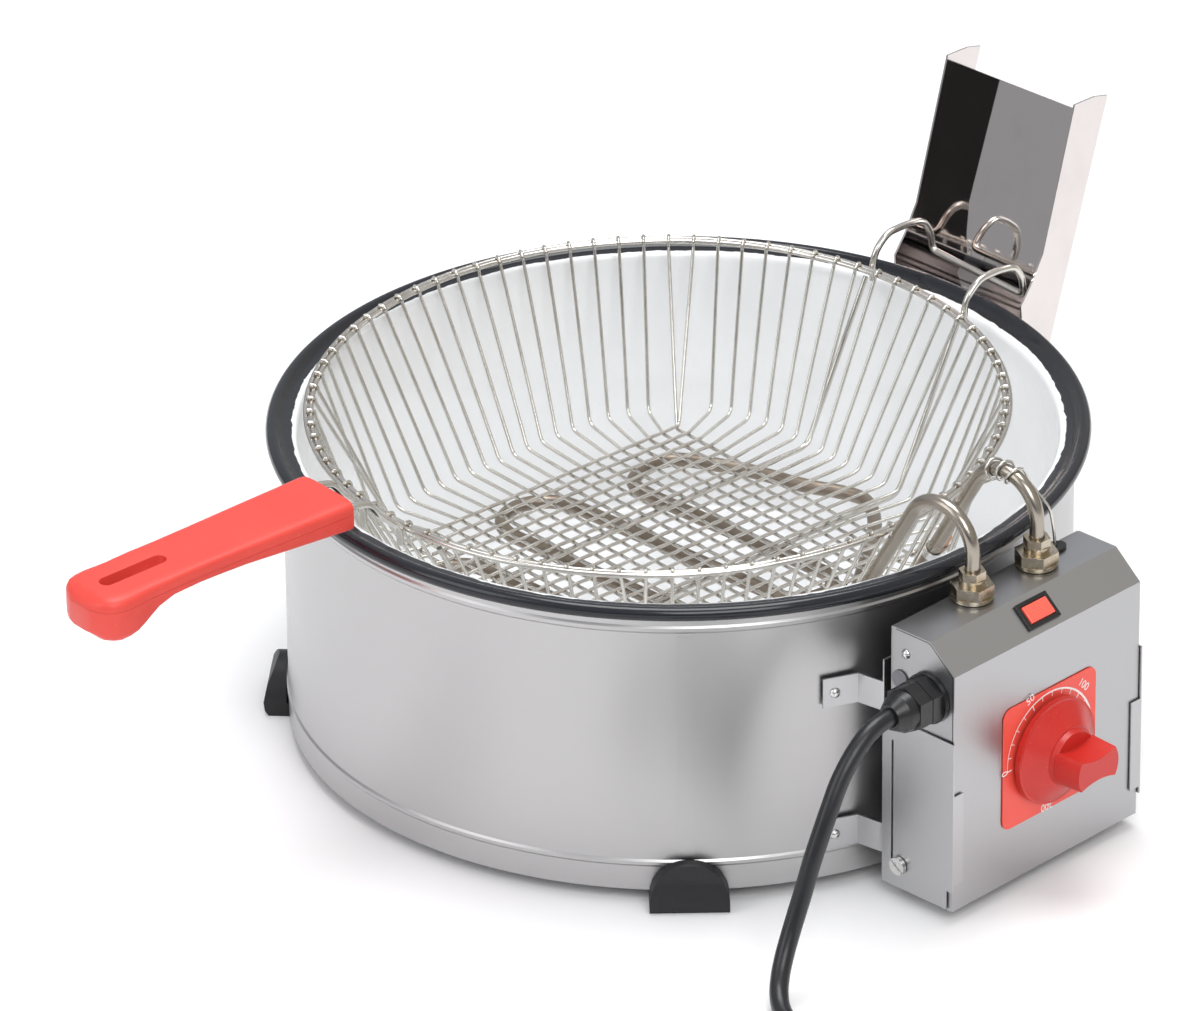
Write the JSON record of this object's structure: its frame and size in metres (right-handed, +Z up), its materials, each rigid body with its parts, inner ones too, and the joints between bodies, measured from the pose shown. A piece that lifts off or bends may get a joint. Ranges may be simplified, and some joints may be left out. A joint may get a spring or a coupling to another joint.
{
  "type": "deep fryer",
  "caption": "Round countertop electric deep fryer: steel casing, enamelled pan, lift-out heating head with thermostat knob, wire basket with handle, and basket hanger plate.",
  "frame": {"origin": "on the table, on the vertical axis of the casing and pan", "axes": "+Z up, +X towards the basket hanger, -X towards the basket handle, -Y towards the control box"},
  "size_m": [0.6775, 0.6224, 0.285],
  "materials": {
    "black_plastic": "moulded nylon",
    "box_steel": "satin grey sheet",
    "bulb_copper": "drawn copper",
    "casing_steel": "fine horizontal brushing, satin",
    "ceramic": "steatite look",
    "coral_plastic": "moulded, satin",
    "cord_pvc": "smooth black sheath",
    "core_pvc": "insulated cores",
    "element_steel": "heat tinted tube",
    "enamel": "white glass enamel inside, charcoal rim",
    "foot_rubber": "moulded, matt",
    "mirror_steel": "polished sheet",
    "nickel": "nickel plated brass",
    "plug_grey": "grey plug",
    "red_lens": "clear red, ribbed",
    "sheet_steel": "plain cold-rolled sheet, satin",
    "wire_steel": "bright plated wire",
    "zinc": "zinc plated"
  },
  "bodies": {
    "casing": {"casing_shell": "casing_steel", "casing_floor": "casing_steel", "foot_front_left": "foot_rubber", "foot_front_right": "foot_rubber", "foot_rear_left": "foot_rubber", "foot_rear_right": "foot_rubber", "foot_screws": "zinc", "cradle_bracket": "sheet_steel", "cradle_screws": "zinc", "cradle_rivets": "zinc", "hanger_plate": "mirror_steel", "hanger_rivets": "zinc"},
    "pan": {"frying_pan": "enamel"},
    "head": {"box_cover": "box_steel", "box_chassis": "box_steel", "box_rivets": "zinc", "hole_plug": "plug_grey", "dial_plate": "coral_plastic", "pilot_bezel": "black_plastic", "pilot_lens": "red_lens", "pilot_terminals": "zinc", "thermostat_body": "ceramic", "thermostat_screws": "zinc", "capillary_tube": "nickel", "capillary_grommet": "black_plastic", "thermostat_bulb": "bulb_copper", "bulb_clips": "zinc", "heating_element": "element_steel", "element_fittings": "nickel", "element_washers": "nickel", "element_locknuts": "nickel", "element_terminals": "nickel", "terminal_block": "ceramic", "terminal_screws": "zinc", "gland_locknut": "black_plastic", "gland_body": "black_plastic", "gland_cap": "black_plastic", "core_wires": "core_pvc", "power_cord": "cord_pvc", "cord_coil": "cord_pvc", "cord_tail": "cord_pvc", "plug_body": "black_plastic", "plug_pins": "nickel"},
    "knob": {"knob": "coral_plastic", "thermostat_spindle": "zinc"},
    "basket": {"basket_rim": "wire_steel", "basket_side_wires": "wire_steel", "basket_mesh_upper": "wire_steel", "basket_mesh_lower": "wire_steel", "basket_support_rods": "wire_steel", "basket_hook": "wire_steel", "handle_tangs": "wire_steel", "handle_upper_shell": "coral_plastic", "handle_lower_shell": "coral_plastic", "handle_screws": "zinc"}
  },
  "joints": [
    {"name": "pan_lift", "type": "slide", "parent": "casing", "child": "pan", "axis": [0, 0, 1], "range_m": [0, 0.2]},
    {"name": "head_lift", "type": "slide", "parent": "pan", "child": "head", "axis": [0, 0, 1], "range_m": [0, 0.2]},
    {"name": "basket_lift", "type": "slide", "parent": "head", "child": "basket", "axis": [0, 0, 1], "range_m": [0, 0.2]},
    {"name": "knob_turn", "type": "hinge", "parent": "head", "child": "knob", "pos_m": [0.0007, -0.2672, 0.0765], "axis": [0, 1, 0], "range_deg": [0, 275]}
  ]
}
